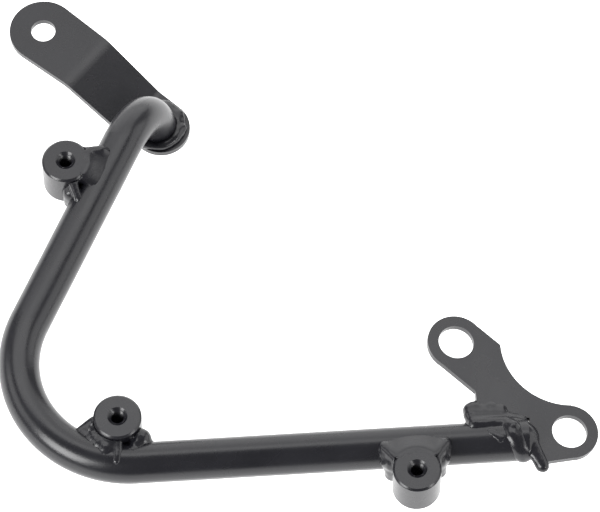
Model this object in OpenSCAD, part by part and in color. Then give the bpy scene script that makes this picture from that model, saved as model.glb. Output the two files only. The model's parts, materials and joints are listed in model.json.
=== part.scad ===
// Pannier rack: a welded carrier bow of bent round tube for one side of a motorbike.
// Millimetres, Z up. The three boss faces lie in the plane Z = 0 and the origin is
// the mouth of the corner boss thread. The lower run of the tube follows X.

/* [Tube] */
// Outside diameter of the tube
tube_d = 18; // [14:0.5:22]
// Wall thickness of the tube
tube_wall = 2; // [1.5:0.25:3]
// Depth of the tube axis below the boss faces
axis_drop = 12.6; // [12:0.1:15]
// Centre line radius of the main bend
bend_r = 48.5; // [44:0.5:60]
// Angle between the arm and the lower run
arm_angle = 62.5; // [50:0.5:75]
// Length of the straight arm from the main bend to the upper curl
arm_len = 96.8; // [90:0.1:130]
// Length of the straight lower run
run_len = 170; // [150:1:200]
// Centre line radius of the upper curl
curl_r = 28; // [26:0.5:36]
// Sideways lean of the upper curl
curl_lean = 7; // [0:0.5:12]
// Straight length between the curl and the pad that it stands on
foot_len = 1.5; // [1:0.5:6]

/* [Bosses] */
// Outside diameter of each boss
boss_d = 21; // [19:0.5:24]
// Length of each boss
boss_len = 20; // [16:0.5:22]
// Distance from a boss axis to the tube axis
boss_out = 16.2; // [15:0.1:17.5]
// Chamfer on the rims of each boss
rim_chamfer = 0.9; // [0.4:0.1:1.5]
// Core diameter of the boss thread
thread_core_d = 6.8; // [5:0.1:7]
// Diameter of the countersink at the mouths of the thread
mouth_d = 8.8; // [8.2:0.1:10]
// Angle round the main bend from the lower run to the corner boss
corner_boss_turn = 12.3; // [8:0.1:20]
// Distance along the arm from the arm boss to the upper curl
arm_boss_back = 23.5; // [16:0.5:40]
// Distance along the lower run from the main bend to the run boss
run_boss_at = 120.4; // [60:0.1:130]

/* [Strap bracket] */
// Thickness of the strap
strap_t = 3; // [2.5:0.5:5]
// Radius of the pad that the tube stands on
pad_r = 13; // [12:0.1:15]
// Radius of the round end with the hole
eye_r = 15.3; // [12:0.1:17]
// Diameter of the hole in the strap
eye_hole_d = 11; // [8:0.5:13]
// Distance from the pad centre to the hole, seen from above
strap_reach = 69.1; // [64:0.1:90]
// Distance from the pad centre to the lower fold
lower_fold_at = 12.5; // [11:0.5:16]
// Distance from the pad centre to the upper fold
upper_fold_at = 43.5; // [38:0.5:50]
// Slope of the strap between its folds
strap_slope = 20.4; // [8:0.1:30]
// Inside radius of the lower fold
fold_r = 6; // [4:0.5:8]
// Inside radius of the upper fold
upper_fold_r = 14; // [4:0.5:16]
// Direction of the strap, seen from above
strap_angle = 137.3; // [125:0.1:150]
// Distance from the tube foot to the pad centre, along the run
pad_shift = 2; // [0:0.1:2.4]

/* [Front plate] */
// Thickness of the plate
plate_t = 3; // [2.5:0.5:5]
// Slope of the plate down along the run
plate_tilt = 8.5; // [0:0.5:12]
// Height of the plate's top face above the tube axis at the tube end
plate_rise = 3.5; // [2:0.25:4.5]
// Radius of the two round ends
lobe_r = 12.6; // [11:0.1:14]
// Diameter of the two holes
plate_hole_d = 15.5; // [12:0.5:17]
// Distance of the upper hole behind the tube end
upper_hole_back = 28.2; // [24:0.1:32]
// Height of the upper hole over the tube axis
upper_hole_up = 45.4; // [38:0.1:52]
// Distance of the lower hole past the tube end
lower_hole_past = 18.5; // [17:0.1:24]
// Height of the lower hole over the tube axis
lower_hole_up = 2.6; // [0:0.1:6]
// Radius of the hollow in the upper edge
hollow_r = 29; // [26:0.5:32]
// Length of tube that the plate foot is welded to
foot_grip = 21.5; // [16:0.5:24]
// Depth of the prong below the tube
prong_depth = 4; // [3:0.1:6]

/* [Welds] */
// Radius of the beads beside the bosses
bead_r = 4.4; // [3:0.1:5]
// Radius of the bead round the tube foot
foot_bead_r = 3.2; // [2:0.1:3.6]
// Radius of the beads on the front plate
plate_bead_r = 3.6; // [2.5:0.1:4]
// Gap between the pieces under the welds
fit_gap = 0.1; // [0.05:0.05:0.3]

/* [Hidden] */
$fn = 72;

coat = [0.24, 0.24, 0.26];
weld_coat = [0.30, 0.30, 0.32];

tube_r = tube_d / 2;
boss_r = boss_d / 2;
eps = 0.01;
lap = 0.3;
hair = 0.02;
far = 60;

// Main bend: its centre follows from the corner boss at the origin
bend_c = (bend_r - boss_out) * [sin(corner_boss_turn), cos(corner_boss_turn)];
run_y = bend_c[1] - bend_r;
arm_dir = [cos(arm_angle), sin(arm_angle)];
arm_out = [-sin(arm_angle), cos(arm_angle)];
arm_start = bend_c + bend_r * arm_out;
bend_turn = 180 - arm_angle;
tube_end_x = bend_c[0] + run_len;

// Upper curl: a quarter turn down from the end of the arm
curl_start = arm_start + arm_len * arm_dir;
curl_end = curl_start + curl_r * arm_dir - curl_r * sin(curl_lean) * arm_out;
curl_low = axis_drop + curl_r * cos(curl_lean);
foot_xy = curl_end - foot_len * sin(curl_lean) * arm_out;
pad_top = -curl_low - foot_len * cos(curl_lean);
pad_xy = foot_xy + [pad_shift, 0];

// Front plate: its local frame has U along the run, V across it and the top face at 0
plate_foot_v = tube_r + fit_gap;
foot_top = plate_foot_v + 12.6;
upper_hole = [-upper_hole_back, upper_hole_up];
lower_hole = [lower_hole_past, lower_hole_up];
hollow_shift = 1.8;
hollow_c = lower_hole + [hollow_shift, lobe_r + hollow_r];
shoulder = [hollow_c[0] - hollow_r, hollow_c[1]];
notch_u = 1.2;
notch_step = 4;
prong_tip = [6, -tube_r - prong_depth];
prong_half = 2.2;
prong_slant = 1.3;
// Depth that the straight edges start inside the round ends
tuck = 0.1;

// Welds beside a boss: bead centre in the boss frame
bead_x = boss_r;
bead_y = tube_r + 1.2;
bead_z = 1 - axis_drop;
bead_len = 17;
top_bead_r = 3.2;
top_bead_y = boss_out - boss_r - 1.2;
top_bead_z = tube_r - 0.8 - axis_drop;
top_bead_len = 17;

// Welds of the front plate, in its frame
foot_bead_from = -foot_grip - 4.2;
foot_bead_to = 1.8;
foot_bead_in = 1.4;
foot_bead_lift = plate_bead_r - plate_t / 2 + fit_gap / 2;
end_bead_c = [2, -3.4, 0.4];
end_bead_turn = 16;
end_bead_len = 21;
end_bead_r = 2.9;
end_cap_inset = 0.3;
end_cap_h = 2.6;
end_cap_taper = 1.3;

// Strap: flat lengths beside the folds
fold_half = (fold_r + strap_t / 2) * tan(strap_slope / 2);
upper_half = (upper_fold_r + strap_t / 2) * tan(strap_slope / 2);
lower_tangent = lower_fold_at - fold_half;
slope_flat = (upper_fold_at - lower_fold_at) / cos(strap_slope) - fold_half - upper_half;

// Section of the tube; the straights are a hair thinner, so that each joins its bends
module ring(thinner) {
    difference() {
        circle(tube_r - thinner);
        circle(tube_r - tube_wall + thinner);
    }
}

// One straight stretch, then whatever follows it
module straight(length, start_lap, end_lap) {
    translate([0, 0, -start_lap]) linear_extrude(length + start_lap + end_lap) ring(hair);
    translate([0, 0, length]) children();
}

// One bend towards the local -X side, then whatever follows it
module turn(radius, angle) {
    translate([-radius, 0, 0]) rotate([90, 0, 0])
        rotate_extrude(angle = angle) translate([radius, 0]) ring(0);
    translate([radius * cos(angle) - radius, 0, radius * sin(angle)])
        rotate([0, -angle, 0]) children();
}

// The bow, from the end of the lower run to the foot on the pad
module tube() {
    color(coat) difference() {
        translate([tube_end_x, run_y, -axis_drop]) rotate([0, -90, 0]) rotate([0, 0, -90])
            straight(run_len, 0, lap)
            turn(bend_r, bend_turn)
            straight(arm_len, lap, lap)
            rotate([0, 0, 90 - curl_lean]) turn(curl_r, 90)
            straight(foot_len + tube_r * tan(curl_lean) + 1, lap, 0);
        translate([foot_xy[0], foot_xy[1], pad_top - far / 2])
            cube([far, far, far], center = true);
    }
}

// A boss and its thread mouths, standing with its top face at 0
module boss_body() {
    mouth = (mouth_d - thread_core_d) / 2;
    difference() {
        union() {
            translate([0, 0, -rim_chamfer]) cylinder(h = rim_chamfer, r1 = boss_r, r2 = boss_r - rim_chamfer);
            translate([0, 0, rim_chamfer - boss_len]) cylinder(h = boss_len - 2 * rim_chamfer, r = boss_r);
            translate([0, 0, -boss_len]) cylinder(h = rim_chamfer, r1 = boss_r - rim_chamfer, r2 = boss_r);
        }
        translate([0, 0, -boss_len - eps]) cylinder(h = boss_len + 2 * eps, d = thread_core_d);
        translate([0, 0, -mouth]) cylinder(h = mouth + eps, d1 = thread_core_d, d2 = mouth_d + 2 * eps);
        translate([0, 0, -boss_len - eps])
            cylinder(h = mouth + eps, d1 = mouth_d + 2 * eps, d2 = thread_core_d);
    }
}

// Solid lengths of the bow near one boss, used to cut what fits round it
module arm_bar(r) {
    translate([arm_start[0], arm_start[1], -axis_drop]) rotate([0, 0, arm_angle]) rotate([0, 90, 0])
        cylinder(h = arm_len, r = r);
}
module run_bar(r, back = 0) {
    translate([bend_c[0] - back, run_y, -axis_drop]) rotate([0, 90, 0]) cylinder(h = run_len + back, r = r);
}
module bend_bar(r) {
    translate([bend_c[0], bend_c[1], -axis_drop]) rotate([0, 0, 90 + arm_angle])
        rotate_extrude(angle = bend_turn) translate([bend_r, 0]) circle(r);
}

// Frames of the three bosses: X along the tube, Y from the tube axis to the boss
module at_arm_boss() {
    p = curl_start - arm_boss_back * arm_dir;
    translate([p[0], p[1], 0]) rotate([0, 0, arm_angle]) children();
}
module at_corner_boss() {
    rotate([0, 0, -corner_boss_turn]) translate([0, -boss_out, 0]) children();
}
module at_run_boss() {
    translate([bend_c[0] + run_boss_at, run_y, 0]) mirror([0, 1, 0]) children();
}

module arm_boss() {
    color(coat) difference() {
        at_arm_boss() translate([0, boss_out, 0]) boss_body();
        arm_bar(tube_r + fit_gap);
    }
}

module corner_boss() {
    color(coat) difference() {
        boss_body();
        bend_bar(tube_r + fit_gap);
        run_bar(tube_r + fit_gap - hair, boss_r);
    }
}

module run_boss() {
    color(coat) difference() {
        at_run_boss() translate([0, boss_out, 0]) boss_body();
        run_bar(tube_r + fit_gap);
    }
}

// One weld bead: a round bar along Z with round ends
module bead(length, r) {
    rotate_extrude() intersection() {
        translate([0, -length / 2]) square([r, length]);
        union() {
            square([2 * r, length - 2 * r], center = true);
            for (end = [-1, 1]) translate([0, end * (length / 2 - r)]) circle(r);
        }
    }
}

// Bead beside a boss, in the boss frame, on the side of the given sign
module side_bead(side) {
    translate([side * bead_x, bead_y, bead_z]) bead(bead_len, bead_r);
}

module arm_boss_bead(side) {
    color(weld_coat) difference() {
        at_arm_boss() side_bead(side);
        at_arm_boss() translate([0, boss_out, 0]) boss_hull();
        arm_bar(tube_r + fit_gap / 2);
    }
}
module corner_boss_bead(side) {
    color(weld_coat) difference() {
        at_corner_boss() side_bead(side);
        boss_hull();
        bend_bar(tube_r + fit_gap / 2);
        run_bar(tube_r + fit_gap / 2 - hair, boss_r);
    }
}
module run_boss_bead(side) {
    color(weld_coat) difference() {
        at_run_boss() side_bead(side);
        at_run_boss() translate([0, boss_out, 0]) boss_hull();
        run_bar(tube_r + fit_gap / 2);
    }
}
module boss_hull() { translate([0, 0, -boss_len]) cylinder(h = boss_len, r = boss_r + fit_gap / 2); }

module arm_boss_weld_upper() { arm_boss_bead(1); }
module arm_boss_weld_lower() { arm_boss_bead(-1); }
module corner_boss_weld_left() { corner_boss_bead(-1); }
module corner_boss_weld_right() { corner_boss_bead(1); }
module run_boss_weld_left() { run_boss_bead(-1); }
module run_boss_weld_right() { run_boss_bead(1); }

// Beads over the tube against the inner wall of a boss, in the boss frame
module top_bead() {
    translate([0, top_bead_y, top_bead_z]) rotate([0, 90, 0]) bead(top_bead_len, top_bead_r);
}
module arm_boss_weld_top() {
    color(weld_coat) difference() {
        at_arm_boss() top_bead();
        at_arm_boss() translate([0, boss_out, 0]) boss_hull();
        arm_bar(tube_r + fit_gap / 2);
    }
}
module run_boss_weld_top() {
    color(weld_coat) difference() {
        at_run_boss() top_bead();
        at_run_boss() translate([0, boss_out, 0]) boss_hull();
        run_bar(tube_r + fit_gap / 2);
    }
}

// Strap bracket, drawn from the pad centre towards the eye along X, pad top at 0
// A flat length, a hair thinner than the bends that it laps into
module strap_flat(length) {
    translate([-lap, hair - strap_t]) square([length + 2 * lap, strap_t - 2 * hair]);
}
module strap_bend(angle, r) {
    up = angle > 0;
    centre = up ? r : -r - strap_t;
    translate([0, centre]) intersection() {
        difference() {
            circle(r + strap_t);
            circle(r);
        }
        polygon([[0, 0], far * [0, up ? -1 : 1], far * [sin(abs(angle)), (up ? -1 : 1) * cos(angle)]]);
    }
}
module after_bend(angle, r) {
    up = angle > 0;
    centre = up ? r : -r - strap_t;
    reach = up ? r : r + strap_t;
    translate([reach * sin(abs(angle)), centre + (up ? -1 : 1) * reach * cos(angle)])
        rotate(angle) children();
}
module strap_profile() {
    translate([-far, 0]) strap_flat(far + lower_tangent);
    translate([lower_tangent, 0]) {
        strap_bend(strap_slope, fold_r);
        after_bend(strap_slope, fold_r) {
            strap_flat(slope_flat);
            translate([slope_flat, 0]) {
                strap_bend(-strap_slope, upper_fold_r);
                after_bend(-strap_slope, upper_fold_r) strap_flat(far);
            }
        }
    }
}
module strap_outline(height) {
    taper = asin((eye_r - pad_r) / strap_reach);
    side = [-sin(taper), cos(taper)];
    flip = [side[0], -side[1]];
    eye = [strap_reach, 0];
    cylinder(h = height, r = pad_r);
    translate(eye) cylinder(h = height, r = eye_r);
    linear_extrude(height) polygon([pad_r * side, eye + eye_r * side, eye + eye_r * flip, pad_r * flip]);
}
module strap_body() {
    translate([pad_xy[0], pad_xy[1], pad_top - fit_gap]) rotate([0, 0, strap_angle]) difference() {
        intersection() {
            rotate([90, 0, 0]) translate([0, 0, -far / 2]) linear_extrude(far) strap_profile();
            translate([0, 0, -strap_t - 1]) strap_outline(far);
        }
        translate([strap_reach, 0, -far]) cylinder(h = 2 * far, d = eye_hole_d);
    }
}

module strap_bracket() { color(coat) strap_body(); }

// Bead round the foot of the tube on the pad
module tube_foot_weld() {
    color(weld_coat) difference() {
        translate([foot_xy[0], foot_xy[1], pad_top])
            rotate_extrude() translate([tube_r, 0]) circle(foot_bead_r);
        translate([foot_xy[0], foot_xy[1], pad_top - fit_gap / 2 - far / 2])
            cube([far, far, far], center = true);
        translate([0, 0, fit_gap / 2]) strap_body();
        translate([foot_xy[0], foot_xy[1], pad_top]) lean_foot() translate([0, 0, -far / 2])
            cylinder(h = far, r = tube_r + fit_gap);
    }
}
module lean_foot() { rotate([0, 0, arm_angle]) rotate([-curl_lean, 0, 0]) children(); }

// Frame of the front plate at the middle of the tube end, top face at 0
module at_plate() {
    translate([tube_end_x, run_y, plate_rise - axis_drop]) rotate([0, plate_tilt, 0]) children();
}
// Point of a round end where the straight edge to p leaves it, left or right of the line
function leave(centre, p, side) = let (d = p - centre, a = atan2(d[1], d[0]) + side * acos(lobe_r / norm(d)))
    centre + (lobe_r - tuck) * [cos(a), sin(a)];

// Body of the plate without its holes, grown by a gap where welds stop short of it;
// the grown foot runs well into the tube, so that no weld ends on a knife edge there
module plate_body(gap) {
    deep = plate_t + 2 * gap;
    foot_v = plate_foot_v - 10 * gap;
    difference() {
        translate([0, 0, -plate_t - gap]) union() {
            translate(upper_hole) cylinder(h = deep, r = lobe_r);
            translate(lower_hole) cylinder(h = deep, r = lobe_r);
            linear_extrude(deep) polygon([
                leave(upper_hole, shoulder, 1),
                shoulder,
                lower_hole + [hollow_shift, lobe_r - tuck],
                leave(lower_hole, prong_tip + [prong_half, prong_slant], 1),
                prong_tip + [prong_half, prong_slant],
                prong_tip,
                prong_tip + [-prong_half - gap, prong_slant],
                [notch_u - gap, plate_foot_v - notch_step],
                [notch_u - gap, foot_v],
                [-foot_grip - gap, foot_v],
                [-foot_grip - gap, foot_top],
                leave(upper_hole, [-foot_grip, foot_top], -1),
            ]);
        }
        translate([hollow_c[0], hollow_c[1], -plate_t - 1]) cylinder(h = plate_t + 2, r = hollow_r);
    }
}
module front_plate() {
    color(coat) at_plate() difference() {
        plate_body(0);
        for (hole = [upper_hole, lower_hole])
            translate([hole[0], hole[1], -plate_t - 1]) cylinder(h = plate_t + 2, d = plate_hole_d);
    }
}

// Beads along the foot of the plate, over it and under it, up to the tube end
module foot_bead(height) {
    color(weld_coat) difference() {
        at_plate() translate([(foot_bead_from + foot_bead_to) / 2, plate_foot_v - foot_bead_in, height])
            rotate([0, 90, 0]) bead(foot_bead_to - foot_bead_from, plate_bead_r);
        at_plate() plate_body(fit_gap / 2);
        run_bar(tube_r + fit_gap / 2);
        translate([tube_end_x + (far - fit_gap) / 2, run_y, -axis_drop])
            cube([far, far, far], center = true);
    }
}
module plate_weld_upper() { foot_bead(foot_bead_lift); }
module plate_weld_under() { foot_bead(-plate_t - foot_bead_lift); }

// Weld metal that closes the mouth of the tube and runs down to the prong
module tube_end_weld() {
    cap_r = tube_r - end_cap_inset;
    color(weld_coat) difference() {
        union() {
            translate([tube_end_x, run_y, -axis_drop]) rotate([0, 90, 0])
                cylinder(h = end_cap_h, r1 = cap_r, r2 = cap_r - end_cap_taper);
            at_plate() translate(end_bead_c) rotate([0, 0, end_bead_turn]) rotate([90, 0, 0])
                bead(end_bead_len, end_bead_r);
        }
        at_plate() plate_body(fit_gap / 2);
        translate([tube_end_x + fit_gap / 2 - far / 2, run_y, -axis_drop])
            cube([far, far, far], center = true);
    }
}

tube();
arm_boss();
corner_boss();
run_boss();
strap_bracket();
front_plate();
arm_boss_weld_upper();
arm_boss_weld_lower();
arm_boss_weld_top();
corner_boss_weld_left();
corner_boss_weld_right();
run_boss_weld_left();
run_boss_weld_right();
run_boss_weld_top();
tube_foot_weld();
plate_weld_upper();
plate_weld_under();
tube_end_weld();
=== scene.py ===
"""Pannier rack: the welded bow with its looks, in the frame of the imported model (metres, Z up)."""
import bpy
import json
from math import atan2, cos, pi, radians, sin, sqrt
from mathutils import Matrix, Vector


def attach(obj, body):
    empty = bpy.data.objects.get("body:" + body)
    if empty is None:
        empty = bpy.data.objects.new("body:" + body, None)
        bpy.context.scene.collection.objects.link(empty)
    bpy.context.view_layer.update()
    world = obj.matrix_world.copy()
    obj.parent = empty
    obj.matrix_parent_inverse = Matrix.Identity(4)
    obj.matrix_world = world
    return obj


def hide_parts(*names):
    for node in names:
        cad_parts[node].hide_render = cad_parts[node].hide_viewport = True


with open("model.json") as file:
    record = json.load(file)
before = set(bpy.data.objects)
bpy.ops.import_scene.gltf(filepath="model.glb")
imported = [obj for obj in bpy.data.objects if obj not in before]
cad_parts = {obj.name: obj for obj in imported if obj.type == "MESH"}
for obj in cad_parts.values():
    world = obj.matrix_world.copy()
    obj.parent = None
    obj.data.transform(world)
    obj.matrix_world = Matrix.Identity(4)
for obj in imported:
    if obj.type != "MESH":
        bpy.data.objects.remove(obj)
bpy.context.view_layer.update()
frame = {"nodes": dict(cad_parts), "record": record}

# Sizes of the solids, in mm
MM = 0.001
TUBE_R = 9.0
BEND_R = 48.5
BOSS_R = 10.5
BOSS_LENGTH = 20.0
BORE_R = 3.4
THREAD_PITCH = 1.25
PLATE_T = 3.0

# Places of the solids, in mm: boss faces lie at height 0, and a boss stands BOSS_OUT beside the tube's axis
AXIS_Z = -12.6
BOSS_OUT = 16.2
ARM_TURN = radians(62.5)
CORNER_TURN = radians(-12.3)
PLATE_TILT = radians(8.5)
PLATE_ORIGIN = (176.88, -16.94, -9.1)
FOOT = (24.68, 162.99, -41.88)

# The threads' places come with the frame, in metres
BOSSES = ("arm_boss", "corner_boss", "run_boss")
MOUNTS = {mount["name"]: mount["pos_m"] for mount in frame["record"]["mounts"]}

# Weld metal, in mm: the drops and blocks under it lie SUNK below the real faces, and the skin is cut away
# where it lies CUT inside them, or FACE_CUT below a boss's face. GRAIN is its mesh's step, SKIN its wall
SUNK = 0.35
CUT = 0.22
FACE_CUT = 0.14
GRAIN = 0.6
SKIN = 0.6

# A web between a boss and the tube, in mm: it starts WEB_ON_RIM inside the rim and WEB_RISE over the face,
# falls away past WEB_LEVEL, and its sides are hollowed by WEB_HOLLOW a mm past WEB_STRAIGHT
WEB_R = 2.6
WEB_STEP = 1.1
WEB_RISE = 0.3
WEB_FALL = 0.03
WEB_LEVEL = 6.0
WEB_ON_RIM = 0.6
WEB_WIDEST = 10.5
WEB_STRAIGHT = 8.0
WEB_HOLLOW = 1.3

# The camera that was fitted to the photograph
CAMERA_TURN = radians(3.719)
CAMERA_HEIGHT = radians(63.0)
CAMERA_TARGET = Vector((0.08409, 0.07876, -0.01264))
CAMERA_DISTANCE = 2.4
PIXELS_PER_METRE = 2270.0
PHOTO_WIDTH = 600
SENSOR_WIDTH = 36

# Soft boxes: name, place, what it faces, size in metres, and watts
SOFT_BOXES = (
    ("top_light", (0.08, 0.64, 1.55), (0.08, 0.05, 0), (2.2, 0.5), 8.8),
    ("upper_back_light", (0.08, 1.3, 1.38), (0.08, 0.05, 0), (2.2, 0.85), 8.5),
    ("back_light", (0.08, 2.3, 0.75), (0.08, 0.05, 0), (3.4, 1.5), 28),
    ("left_light", (-0.95, -0.72, 0.76), (0.0, 0.0, 0), (0.75, 0.75), 20),
    ("right_front_light", (1.15, -0.85, 0.52), (0.1, 0.0, 0), (0.4, 0.4), 4),
    ("side_light", (-1.5, 0.3, 0.75), (0.0, 0.1, 0), (1.0, 0.8), 5),
    ("right_light", (1.5, 0.1, 0.6), (0.1, 0.05, 0), (1.6, 1.1), 9),
)

# Tones of the black coat and of the fine dust in it
BLACK = (0.0085, 0.0085, 0.0115, 1)
DUST = (0.03, 0.03, 0.034, 1)


def place(origin, turn=0.0, flip=False, tilt=0.0):
    """A frame at an origin, from millimetres in it to metres in the model."""
    turned = Matrix.Rotation(turn, 4, "Z") @ Matrix.Rotation(tilt, 4, "Y")
    m = Matrix.Translation(Vector(origin) * MM) @ turned
    if flip:
        m = m @ Matrix.Diagonal((1, -1, 1, 1))
    return m @ Matrix.Diagonal((MM, MM, MM, 1))


def beside(boss, turn=0.0, flip=False):
    """The frame of a boss: x runs along the tube, y from the tube's axis to the boss, z up from the face."""
    x, y, _ = MOUNTS[boss + "_thread"]
    out = -BOSS_OUT if flip else BOSS_OUT
    return place((x / MM + out * sin(turn), y / MM - out * cos(turn), 0.0), turn, flip)


AT_ARM = beside("arm_boss", ARM_TURN)
AT_CORNER = beside("corner_boss", CORNER_TURN)
AT_RUN = beside("run_boss", flip=True)
AT_PLATE = place(PLATE_ORIGIN, tilt=PLATE_TILT)
AT_FOOT = place(FOOT, ARM_TURN)
AT_RUN_AXIS = place((0, PLATE_ORIGIN[1], AXIS_Z))
AXIS_TO_PLATE = AT_PLATE.inverted() @ AT_RUN_AXIS
PLATE_TO_AXIS = AT_RUN_AXIS.inverted() @ AT_PLATE


# Camera, floor and light
def camera():
    side = cos(CAMERA_HEIGHT)
    back = Vector((-sin(CAMERA_TURN) * side, -cos(CAMERA_TURN) * side, sin(CAMERA_HEIGHT)))
    data = bpy.data.cameras.new("camera")
    cam = bpy.data.objects.new("camera", data)
    bpy.context.scene.collection.objects.link(cam)
    cam.location = CAMERA_TARGET + back * CAMERA_DISTANCE
    cam.rotation_mode = "QUATERNION"
    cam.rotation_quaternion = (-back).to_track_quat("-Z", "Y")
    data.sensor_width = SENSOR_WIDTH
    data.lens = SENSOR_WIDTH * PIXELS_PER_METRE * CAMERA_DISTANCE / PHOTO_WIDTH
    data.clip_end = 20
    bpy.context.scene.camera = cam


def soft_box(name, spot, aim, size, watts):
    data = bpy.data.lights.new(name, "AREA")
    data.shape = "RECTANGLE"
    data.size, data.size_y = size
    data.energy = watts
    lamp = bpy.data.objects.new(name, data)
    lamp.location = spot
    lamp.rotation_mode = "QUATERNION"
    lamp.rotation_quaternion = (Vector(aim) - Vector(spot)).to_track_quat("-Z", "Y")
    bpy.context.scene.collection.objects.link(lamp)


def paper_floor():
    """White paper well below the bow, bright enough to leave no shadow, as in the photograph."""
    bpy.ops.object.select_all(action="DESELECT")
    bpy.ops.mesh.primitive_plane_add(size=8, location=(0.08, 0.08, -0.16))
    floor = bpy.context.object
    floor.name = "floor"
    paper = bpy.data.materials.new("pale_paper")
    paper.use_nodes = True
    shader = paper.node_tree.nodes["Principled BSDF"]
    shader.inputs["Base Color"].default_value = (0.9, 0.9, 0.9, 1)
    shader.inputs["Roughness"].default_value = 0.9
    shader.inputs["Specular IOR Level"].default_value = 0.0
    shader.inputs["Emission Color"].default_value = (1, 1, 1, 1)
    shader.inputs["Emission Strength"].default_value = 0.85
    floor.data.materials.append(paper)


def studio():
    paper_floor()
    world = bpy.data.worlds.new("studio")
    world.use_nodes = True
    sky = world.node_tree.nodes["Background"]
    sky.inputs["Color"].default_value = (1, 1, 1, 1)
    sky.inputs["Strength"].default_value = 0.26
    bpy.context.scene.world = world
    for name, spot, aim, size, watts in SOFT_BOXES:
        soft_box(name, spot, aim, size, watts)
    bpy.context.scene.view_settings.view_transform = "Standard"


# Finishes
def add(tree, kind, **values):
    """A node with its settings and the values of its named inputs."""
    node = tree.nodes.new(kind)
    for key, value in values.items():
        socket = node.inputs.get(key.replace("_", " ")) if not hasattr(node, key) else None
        if socket is None:
            setattr(node, key, value)
        else:
            socket.default_value = value
    return node


def coat_group():
    """Powder coat: orange peel, slow patches of gloss and tone, and fine specks of dust."""
    tree = bpy.data.node_groups.new("powder_coat", "ShaderNodeTree")
    for name, kind, value in (("Tone", "NodeSocketColor", (0.02, 0.02, 0.022, 1)),
                              ("Dust Tone", "NodeSocketColor", (0.05, 0.05, 0.052, 1)),
                              ("Gloss", "NodeSocketFloat", 0.34),
                              ("Peel Scale", "NodeSocketFloat", 900.0),
                              ("Ripple Scale", "NodeSocketFloat", 160.0),
                              ("Ripple", "NodeSocketFloat", 0.0)):
        socket = tree.interface.new_socket(name, in_out="INPUT", socket_type=kind)
        socket.default_value = value
    for name, kind in (("Color", "NodeSocketColor"), ("Roughness", "NodeSocketFloat"),
                       ("Height", "NodeSocketFloat")):
        tree.interface.new_socket(name, in_out="OUTPUT", socket_type=kind)
    link = tree.links.new
    given = tree.nodes.new("NodeGroupInput")
    made = tree.nodes.new("NodeGroupOutput")
    spot = add(tree, "ShaderNodeTexCoord").outputs["Object"]

    peel = add(tree, "ShaderNodeTexNoise", Detail=2.0, Roughness=0.45)
    link(spot, peel.inputs["Vector"])
    link(given.outputs["Peel Scale"], peel.inputs["Scale"])
    patch = add(tree, "ShaderNodeTexNoise", Scale=55.0, Detail=3.0, Roughness=0.55)
    link(spot, patch.inputs["Vector"])
    ripple = add(tree, "ShaderNodeTexNoise", Detail=1.5, Roughness=0.5, Distortion=0.4)
    link(spot, ripple.inputs["Vector"])
    link(given.outputs["Ripple Scale"], ripple.inputs["Scale"])

    dust = add(tree, "ShaderNodeTexNoise", Scale=1400.0, Detail=4.0, Roughness=0.7)
    link(spot, dust.inputs["Vector"])
    specks = add(tree, "ShaderNodeMapRange", From_Min=0.58, From_Max=0.74)
    link(dust.outputs["Fac"], specks.inputs["Value"])
    broken = add(tree, "ShaderNodeMath", operation="MULTIPLY")
    link(specks.outputs["Result"], broken.inputs[0])
    link(patch.outputs["Fac"], broken.inputs[1])
    # A Mix node has sockets for every kind of data: its colours are inputs 6 and 7, their mix is output 2
    tone = add(tree, "ShaderNodeMix", data_type="RGBA")
    link(broken.outputs[0], tone.inputs["Factor"])
    link(given.outputs["Tone"], tone.inputs[6])
    link(given.outputs["Dust Tone"], tone.inputs[7])
    shade = add(tree, "ShaderNodeMapRange", From_Min=0.3, From_Max=0.7, To_Min=0.88, To_Max=1.12)
    link(patch.outputs["Fac"], shade.inputs["Value"])
    lit = add(tree, "ShaderNodeVectorMath", operation="SCALE")
    link(tone.outputs[2], lit.inputs[0])
    link(shade.outputs["Result"], lit.inputs["Scale"])
    link(lit.outputs[0], made.inputs["Color"])

    uneven = add(tree, "ShaderNodeMapRange", From_Min=0.25, From_Max=0.75, To_Min=-0.035, To_Max=0.045)
    link(patch.outputs["Fac"], uneven.inputs["Value"])
    rough = add(tree, "ShaderNodeMath", operation="ADD")
    link(given.outputs["Gloss"], rough.inputs[0])
    link(uneven.outputs["Result"], rough.inputs[1])
    link(rough.outputs[0], made.inputs["Roughness"])

    wave = add(tree, "ShaderNodeMath", operation="MULTIPLY")
    link(ripple.outputs["Fac"], wave.inputs[0])
    link(given.outputs["Ripple"], wave.inputs[1])
    height = add(tree, "ShaderNodeMath", operation="ADD")
    link(peel.outputs["Fac"], height.inputs[0])
    link(wave.outputs[0], height.inputs[1])
    link(height.outputs[0], made.inputs["Height"])
    return tree


def finish(name, group, bump, **values):
    """One finish of the part: the shared powder coat with its own values."""
    mat = bpy.data.materials.new(name)
    mat.use_nodes = True
    tree = mat.node_tree
    shader = tree.nodes["Principled BSDF"]
    coat = tree.nodes.new("ShaderNodeGroup")
    coat.node_tree = group
    for key, value in values.items():
        coat.inputs[key.replace("_", " ")].default_value = value
    grain = tree.nodes.new("ShaderNodeBump")
    grain.inputs["Strength"].default_value = bump
    grain.inputs["Distance"].default_value = 0.0002
    tree.links.new(coat.outputs["Height"], grain.inputs["Height"])
    tree.links.new(coat.outputs["Color"], shader.inputs["Base Color"])
    tree.links.new(coat.outputs["Roughness"], shader.inputs["Roughness"])
    tree.links.new(grain.outputs["Normal"], shader.inputs["Normal"])
    shader.inputs["Specular IOR Level"].default_value = 0.5
    return mat


# Shaping
def alone(piece):
    """Select one piece and nothing else."""
    bpy.ops.object.select_all(action="DESELECT")
    piece.select_set(True)
    bpy.context.view_layer.objects.active = piece


def apply_all(piece):
    alone(piece)
    for modifier in list(piece.modifiers):
        bpy.ops.object.modifier_apply(modifier=modifier.name)


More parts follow.
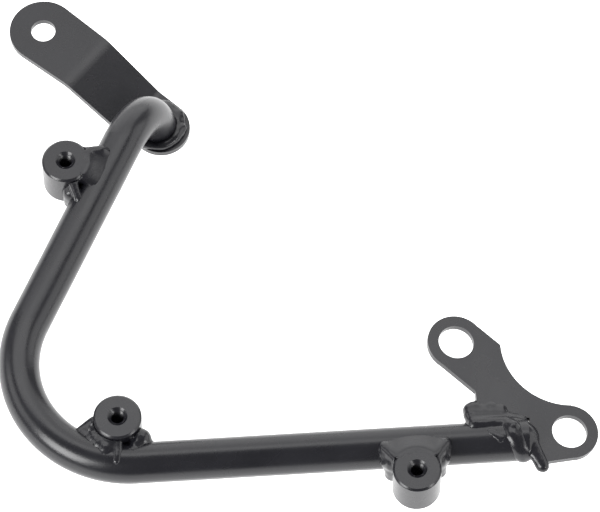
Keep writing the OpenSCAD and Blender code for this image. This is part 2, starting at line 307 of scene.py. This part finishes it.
def dress(piece, slot, replaced=()):
    """Give a piece its finish, its body, and the solids that it stands for."""
    piece.data.materials.clear()
    piece.data.materials.append(FINISH[slot])
    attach(piece, "root")
    if replaced:
        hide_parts(*replaced)


def eased(node, name, edge):
    """A copy of a solid with its faces joined up and its sharp edges rounded by the coat."""
    alone(frame["nodes"][node])
    bpy.ops.object.duplicate()
    piece = bpy.context.object
    piece.name = name
    bpy.ops.object.mode_set(mode="EDIT")
    bpy.ops.mesh.select_all(action="SELECT")
    bpy.ops.mesh.remove_doubles(threshold=0.000002)
    bpy.ops.mesh.dissolve_limited(angle_limit=radians(0.3))
    bpy.ops.object.mode_set(mode="OBJECT")
    soft = piece.modifiers.new("soft", "BEVEL")
    soft.width = edge * MM
    soft.segments = 3
    soft.limit_method = "ANGLE"
    soft.angle_limit = radians(25)
    soft.use_clamp_overlap = True
    apply_all(piece)
    bpy.ops.object.shade_smooth_by_angle(angle=radians(32))
    even = piece.modifiers.new("even", "WEIGHTED_NORMAL")
    even.keep_sharp = True
    even.weight = 100
    apply_all(piece)
    dress(piece, "coat", [node])


def threads():
    """The turns of the three threads: one ridge is wound once and copied into each bore."""
    ridge_r = 0.64
    ridge_at = BORE_R + 0.1
    lowest = -19.45
    bpy.ops.object.select_all(action="DESELECT")
    bpy.ops.mesh.primitive_circle_add(vertices=4, radius=ridge_r * MM, fill_type="NOTHING",
                                      location=(ridge_at * MM, 0, lowest * MM), rotation=(pi / 2, 0, 0))
    ridge = bpy.context.object
    bpy.ops.object.transform_apply(location=True, rotation=True, scale=True)
    wind = ridge.modifiers.new("wind", "SCREW")
    wind.axis = "Z"
    wind.angle = 2 * pi
    wind.screw_offset = THREAD_PITCH * MM
    wind.iterations = 15
    wind.steps = wind.render_steps = 32
    apply_all(ridge)
    bpy.ops.object.mode_set(mode="EDIT")
    bpy.ops.mesh.select_all(action="SELECT")
    bpy.ops.mesh.fill_holes(sides=4)
    bpy.ops.mesh.select_all(action="SELECT")
    bpy.ops.mesh.normals_make_consistent(inside=False)
    bpy.ops.object.mode_set(mode="OBJECT")
    bpy.ops.object.shade_smooth_by_angle(angle=radians(30))
    for boss in BOSSES:
        x, y, _ = MOUNTS[boss + "_thread"]
        alone(ridge)
        bpy.ops.object.duplicate()
        piece = bpy.context.object
        piece.name = boss + "_turns"
        bpy.ops.transform.translate(value=(x, y, 0))
        bpy.ops.object.transform_apply(location=True, rotation=False, scale=False)
        dress(piece, "coat")
    alone(ridge)
    bpy.ops.object.delete()


# Weld metal
def lay(name, frame_of, drops, under, blocks):
    """Balls for the drops and boxes for the blocks, joined into one loose mesh.

    The drops that show differ by up to two hundredths in radius, as laid metal does.
    """
    balls = []
    for i, (x, y, z, r) in enumerate(list(drops) + list(under)):
        if i < len(drops):
            r *= 1 + 0.02 * sin(12.9898 * i + 1.3)
        bpy.ops.object.select_all(action="DESELECT")
        bpy.ops.mesh.primitive_ico_sphere_add(subdivisions=2 if r < 6 else 3, radius=r * MM,
                                              location=frame_of @ Vector((x, y, z)))
        balls.append(bpy.context.object)
    for middle, size in blocks:
        bpy.ops.object.select_all(action="DESELECT")
        bpy.ops.mesh.primitive_cube_add(size=1, location=frame_of @ Vector(middle),
                                        rotation=frame_of.to_quaternion().to_euler())
        bpy.context.object.scale = Vector(size) * MM
        balls.append(bpy.context.object)
    for ball in balls:
        ball.select_set(True)
    bpy.context.view_layer.objects.active = balls[0]
    bpy.ops.object.join()
    piece = bpy.context.object
    piece.name = name
    bpy.ops.object.transform_apply(location=True, rotation=True, scale=True)
    return piece


def cut_hidden(piece, frame_of, hidden):
    """Cut away what lies inside the joined pieces, and give the rest of the skin a back of its own."""
    back = frame_of.inverted()
    bpy.ops.object.mode_set(mode="EDIT")
    bpy.ops.mesh.select_mode(type="VERT")
    bpy.ops.mesh.select_all(action="DESELECT")
    bpy.ops.object.mode_set(mode="OBJECT")
    for v in piece.data.vertices:
        v.select = hidden(back @ v.co)
    bpy.ops.object.mode_set(mode="EDIT")
    bpy.ops.mesh.delete(type="VERT")
    bpy.ops.object.mode_set(mode="OBJECT")
    wall = piece.modifiers.new("wall", "SOLIDIFY")
    wall.thickness = SKIN * MM
    wall.offset = -1
    apply_all(piece)


def weld(name, frame_of, drops, under=(), blocks=(), hidden=None, rounds=14, replaces=()):
    """Weld metal laid as overlapping drops (x, y, z, radius) in a frame, run together into one skin.

    The drops in under and the blocks lie just below the faces of the pieces that are joined, so that
    the skin flows into them. Rounds says how far it is smoothed.
    """
    piece = lay(name, frame_of, drops, under, blocks)
    skin = piece.modifiers.new("skin", "REMESH")
    skin.mode = "VOXEL"
    skin.voxel_size = GRAIN * MM
    flow = piece.modifiers.new("flow", "SMOOTH")
    flow.factor = 0.5
    flow.iterations = rounds
    apply_all(piece)
    if hidden:
        cut_hidden(piece, frame_of, hidden)
    bpy.ops.object.shade_smooth()
    dress(piece, "weld_coat", replaces)


def under_tube():
    """Drops inside the straight tube on both sides of a boss."""
    reach = 24
    n = 33
    return [(-reach + 2 * reach * i / (n - 1), 0.0, AXIS_Z, TUBE_R - SUNK) for i in range(n)]


def under_bend():
    """The same along the main bend, in the frame of the corner boss; the straight run follows it."""
    turn_from, turn_to = -30, 12.3
    n = 24
    drops = []
    for i in range(n):
        a = radians(turn_from + (turn_to - turn_from) * i / (n - 1))
        drops.append((BEND_R * sin(a), BEND_R - BEND_R * cos(a), AXIS_Z, TUBE_R - SUNK))
    last = radians(turn_to)
    for i in range(1, 10):
        x, y = BEND_R * sin(last), BEND_R - BEND_R * cos(last)
        drops.append((x + 1.5 * i * cos(last), y + 1.5 * i * sin(last), AXIS_Z, TUBE_R - SUNK))
    return drops


def under_boss():
    """Drops inside the side of a boss that faces the tube."""
    r = 3.0
    reach = BOSS_R - SUNK - r
    drops = []
    for j in range(-6, 7):
        a = radians(13 * j)
        for i in range(8):
            drops.append((reach * sin(a), BOSS_OUT - reach * cos(a), -3.25 - 1.85 * i, r))
    return drops


def in_boss(p):
    return (p.x ** 2 + (p.y - BOSS_OUT) ** 2 < (BOSS_R - CUT) ** 2
            and 0.2 - BOSS_LENGTH < p.z < -FACE_CUT)


def in_joint(p):
    """Is a point well inside the tube or the boss, in a boss frame?"""
    return p.y ** 2 + (p.z - AXIS_Z) ** 2 < (TUBE_R - CUT) ** 2 or in_boss(p)


def in_corner(p):
    """The same at the corner boss, where the tube bends up to the start of the straight run."""
    a = min(atan2(p.x, BEND_R - p.y), -CORNER_TURN)
    foot = Vector((BEND_R * sin(a), BEND_R - BEND_R * cos(a), AXIS_Z))
    along = Vector((cos(a), sin(a), 0))
    off = p - foot
    if a >= -CORNER_TURN:
        off -= along * off.dot(along)
    return off.length < TUBE_R - CUT or in_boss(p)


def tube_top(y):
    return AXIS_Z + sqrt(max(TUBE_R * TUBE_R - y * y, 0.0))


def boss_wall(x):
    return BOSS_OUT - sqrt(BOSS_R ** 2 - min(abs(x), 9.9) ** 2)


def line(start, end, n, r_start, r_end=None):
    """A row of drops from one point to another, with an even change of radius."""
    r_end = r_start if r_end is None else r_end
    a, b = Vector(start), Vector(end)
    drops = []
    for i in range(n):
        t = i / (n - 1)
        p = a.lerp(b, t)
        drops.append((p.x, p.y, p.z, r_start + (r_end - r_start) * t))
    return drops


def web(x_from, x_to, tube_y):
    """Drops from the face of a boss over its rim to the crown of the tube."""
    r = WEB_R
    drops = []
    n = round((x_to - x_from) / WEB_STEP)
    for i in range(n + 1):
        x = x_from + (x_to - x_from) * i / n
        fall = WEB_FALL * max(abs(x) - WEB_LEVEL, 0.0) ** 2
        edge_y = WEB_WIDEST - WEB_HOLLOW * max(abs(x) - WEB_STRAIGHT, 0.0)
        wall_y = min(boss_wall(x) + WEB_ON_RIM, edge_y)
        if abs(x) < 8.5:
            drops.append((x, wall_y + 3.4, 0.02 - r, r))
            drops.append((x, wall_y + 2.0, 0.6 * WEB_RISE - 0.7 * fall - r, r))
        for k in range(8):
            t = k / 7
            y = wall_y + (tube_y - wall_y) * t
            top = WEB_RISE - fall + (tube_top(tube_y) - 0.1 - WEB_RISE) * t
            drops.append((x, y, top - r, r))
            if top - 2.2 * r > tube_top(y):
                drops.append((x, y, top - 2.2 * r, r))
    return drops


def column(side, x=10.0, y=9.9, top=-6.0, r=3.1):
    """Drops down the seam beside a boss, on the side that side's sign gives."""
    n = 14
    low = -17.2
    return [(side * (x + 0.12 * sin(1.1 * i)), y, top + (low - top) * i / (n - 1), r) for i in range(n)]


def arm_weld():
    """A web that is nearly flush with the face on the upper side, and a ridge on the lower side."""
    drops = web(-3.0, 12.6, -0.4)
    drops += line((-6.8, 9.6, -3.4), (-12.8, 4.2, -5.2), 14, 2.3, 2.0)
    drops += column(1, r=3.4) + column(-1, top=-8.5, r=3.2)
    weld("arm_boss_weld_bead", AT_ARM, drops, under_tube() + under_boss(), hidden=in_joint, rounds=20,
         replaces=("arm_boss_weld_upper", "arm_boss_weld_lower", "arm_boss_weld_top"))


def corner_weld():
    """A flared web on the left, a round lump on the right, and lumps and a ridge over the tube."""
    flare = line((-9.6, 13.6, -4.6), (-15.6, 10.6, -7.4), 10, 3.4, 2.0)
    flare += line((-9.0, 10.4, -6.2), (-14.0, 8.4, -7.6), 9, 3.4, 2.2)
    flare += column(-1, x=10.6, y=11.4, r=3.6)
    slope = []
    for i in range(8):
        x = -10.4 + 1.2 * i
        at_boss = (x, 7.6, -4.6 + 0.34 * (x + 2))
        at_crown = (x + 0.4, -1.8 + 0.01 * x * x, -7.4 + 0.25 * (x + 2))
        slope += line(at_boss, at_crown, 9, 3.4)
    lumps = [(-8.8, 7.4, -6.9, 4.2), (-6.0, 5.0, -6.6, 4.3), (-3.0, 3.0, -6.3, 4.3), (-3.4, 0.6, -6.9, 3.8)]
    ridge = line((2.0, 6.4, -4.2), (2.6, -2.6, -5.0), 12, 2.2, 1.9)
    right_lump = [(11.0, 10.6, -7.8, 4.9), (12.4, 9.4, -9.0, 4.2), (9.8, 7.4, -6.4, 3.0),
                  (11.6, 6.2, -7.4, 2.7), (8.6, 3.6, -7.0, 3.6), (10.4, 1.6, -7.4, 3.2)]
    right_lump += column(1, x=10.6, y=8.8, top=-9.5)
    weld("corner_boss_weld_bead", AT_CORNER, flare + slope + lumps + ridge + right_lump,
         under_bend() + under_boss(), hidden=in_corner, rounds=14,
         replaces=("corner_boss_weld_left", "corner_boss_weld_right"))


def run_weld():
    """One smooth web over the tube, with flared fillets down both sides."""
    drops = web(-13.2, 13.2, -0.8)
    for side in (-1, 1):
        drops += line((side * 10.8, 7.6, -5.0), (side * 13.4, 5.4, -6.4), 6, 2.9, 2.3)
        drops += line((side * 10.4, 10.4, -6.6), (side * 13.0, 8.4, -9.5), 6, 3.2, 2.4)
        drops += column(side, r=3.7)
    weld("run_boss_weld_bead", AT_RUN, drops, under_tube() + under_boss(), hidden=in_joint, rounds=18,
         replaces=("run_boss_weld_left", "run_boss_weld_right", "run_boss_weld_top"))


def foot_weld():
    """A ring round the foot of the curl, with more metal towards the rim of the pad."""
    seam_r = TUBE_R + 0.9
    drops = []
    for i in range(40):
        a = 2 * pi * i / 40
        r = 2.7 + 0.35 * sin(3 * a + 0.6) + 0.2 * sin(7 * a)
        drops.append((seam_r * cos(a), seam_r * sin(a), 0.7, r))
    for i in range(15):
        a = radians(-84 + 12 * i)
        z = 0.3 + 0.3 * sin(2.3 * i)
        r = 2.2 + 0.35 * sin(1.9 * i)
        drops.append(((TUBE_R + 3.1) * cos(a), (TUBE_R + 2.4) * sin(a), z, r))
    weld("tube_foot_weld_bead", AT_FOOT, drops, rounds=8, replaces=("tube_foot_weld",))


def collar(x_from, x_to, turn_from, turn_to, proud, r, n):
    """Drops round the front of the tube: x along it, turns from its crown, and how far they stand out."""
    reach = TUBE_R + proud - r
    drops = []
    for i in range(n):
        t = i / (n - 1)
        a = radians(turn_from + (turn_to - turn_from) * t)
        drops.append((x_from + (x_to - x_from) * t, -reach * sin(a), reach * cos(a), r))
    return drops


def plate_patch():
    """A broad patch on the plate that bulges past its left end, and a fillet to the tube."""
    drops = []
    for i in range(12):
        x = -24.0 + 1.2 * i
        drops.append((x, 13.6 + 0.9 * sin(1.1 * i), -2.6, 3.6))
        drops.append((x, 11.0 + 0.4 * sin(1.7 * i), -2.0, 3.6))
        drops.append((x + 0.6, 8.4, -1.6, 3.4))
        drops.append((x + 1.0, 6.0, -0.6 + 0.08 * i, 3.4))
    drops += [(-24.6, 13.6, -3.0, 2.6), (-24.4, 11.0, -3.4, 2.6), (-23.6, 9.0, -3.2, 2.6)]
    drops += line((-10.5, 8.0, -1.0), (-7.0, 3.2, 3.4), 7, 3.0, 2.9)
    drops += line((-9.4, 9.4, -1.4), (-1.6, 8.4, -1.6), 8, 3.0, 2.6)
    drops += line((-6.4, 6.2, 0.4), (-1.8, 5.6, 0.0), 5, 3.0, 2.6)
    return drops


def plate_prong():
    """Metal from the mouth of the tube down the prong of the plate."""
    drops = line((1.4, -1.0, 0.4), (2.8, -6.0, -0.4), 9, 2.2, 2.8)
    drops += line((2.8, -6.0, -0.4), (5.6, -13.4, -1.6), 12, 2.8, 2.9)
    drops += line((2.2, -8.4, -1.0), (4.6, -13.6, -1.8), 8, 2.4, 2.4)
    return drops


def plate_collar():
    """Metal round the end of the tube and over its mouth, in the frame of the run's axis."""
    drops = collar(168.6, 174.2, -28, 96, 1.3, 4.2, 22)
    drops += collar(170.8, 175.6, -20, 90, 0.9, 4.0, 18)
    drops += [(169.6, 1.6, 5.9, 4.3), (170.4, 0.0, 6.1, 4.2)]
    drops += collar(159.6, 164.6, -12, 24, 0.55, 1.2, 12)
    drops += collar(161.6, 165.6, -12, 14, 0.4, 1.0, 10)
    mouth_x = 175.4
    for i in range(7):
        a = 2 * pi * i / 7
        drops.append((mouth_x, 5.4 * cos(a), 5.4 * sin(a), 3.0))
    drops.append((mouth_x, 0, 0, 3.4))
    return drops


def in_plate_joint(p):
    """Is a point of the plate's frame well inside the end of the tube or the plate?"""
    q = PLATE_TO_AXIS @ p
    in_tube = q.y ** 2 + q.z ** 2 < (TUBE_R - CUT) ** 2 and q.x < PLATE_ORIGIN[0] - 0.4
    return in_tube or (-21.2 < p.x < 5 and 9.4 < p.y < 24 and 0.25 - PLATE_T < p.z < -0.25)


def plate_weld():
    """One run of metal over the plate's foot, round the tube and down the prong, in the plate's frame."""
    drops = plate_patch() + plate_prong()
    for x, y, z, r in plate_collar():
        p = AXIS_TO_PLATE @ Vector((x, y, z))
        drops.append((p.x, p.y, p.z, r))
    under = []
    for i in range(24):
        p = AXIS_TO_PLATE @ Vector((146 + 1.2 * i, 0, 0))
        under.append((p.x, p.y, p.z, TUBE_R - SUNK))
    plate_foot = ((-9.0, 16.6, -1.5), (24.3, 14.4, 2.3))
    weld("plate_weld_bead", AT_PLATE, drops, under, blocks=[plate_foot], hidden=in_plate_joint, rounds=13,
         replaces=("plate_weld_upper", "tube_end_weld"))


def plate_under_weld():
    drops = [(-22.5 + 1.0 * i, 8.3 + 0.3 * sin(1.3 * i), -5.0, 2.7) for i in range(21)]
    weld("plate_weld_under_bead", AT_PLATE, drops, replaces=("plate_weld_under",))


# The part
camera()
studio()
powder = coat_group()
FINISH = {
    "coat": finish("coat", powder, 0.10, Tone=BLACK, Dust_Tone=DUST, Gloss=0.27),
    "weld_coat": finish("weld_coat", powder, 0.16, Tone=BLACK, Dust_Tone=DUST, Gloss=0.25,
                        Peel_Scale=700.0, Ripple_Scale=260.0, Ripple=1.2),
}
for name, node in frame["nodes"].items():
    node.data.materials.clear()
    node.data.materials.append(FINISH["weld_coat" if "weld" in name else "coat"])

eased("strap_bracket", "strap_bracket_formed", 0.5)
eased("front_plate", "front_plate_cut", 0.5)
for boss in BOSSES:
    eased(boss, boss + "_turned", 0.3)
threads()
arm_weld()
corner_weld()
run_weld()
foot_weld()
plate_weld()
plate_under_weld()
